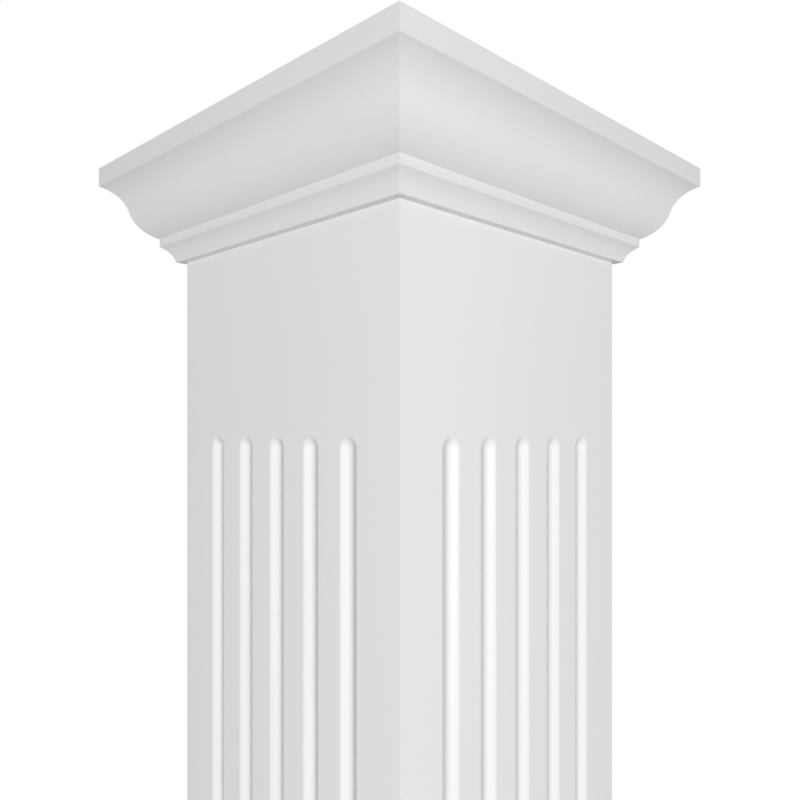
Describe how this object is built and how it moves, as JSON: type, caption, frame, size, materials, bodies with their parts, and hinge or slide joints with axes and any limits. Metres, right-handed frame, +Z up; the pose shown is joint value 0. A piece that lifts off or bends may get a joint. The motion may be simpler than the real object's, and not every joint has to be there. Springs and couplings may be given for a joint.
{
  "type": "fluted square column",
  "caption": "Hollow square porch column with stopped flutes on every face, a mitred crown moulding capital and a plain plinth base.",
  "frame": {"origin": "centre of the column's underside, on the floor that it stands on", "axes": "+Z up along the shaft; the four faces look along +X, -X, +Y and -Y, and the front face looks along -Y"},
  "size_m": [0.2876, 0.2876, 2.4384],
  "materials": {
    "shaft": "smooth white cellular PVC sheet, satin",
    "moulding": "white cellular PVC moulding, satin",
    "plinth": "smooth white cellular PVC sheet, satin"
  },
  "bodies": {
    "root": {"shaft_board_front": "shaft", "shaft_board_right": "shaft", "shaft_board_back": "shaft", "shaft_board_left": "shaft", "capital_moulding_front": "moulding", "capital_moulding_right": "moulding", "capital_moulding_back": "moulding", "capital_moulding_left": "moulding", "plinth_board_front": "plinth", "plinth_board_right": "plinth", "plinth_board_back": "plinth", "plinth_board_left": "plinth", "base_cove_front": "moulding", "base_cove_right": "moulding", "base_cove_back": "moulding", "base_cove_left": "moulding"}
  },
  "joints": []
}
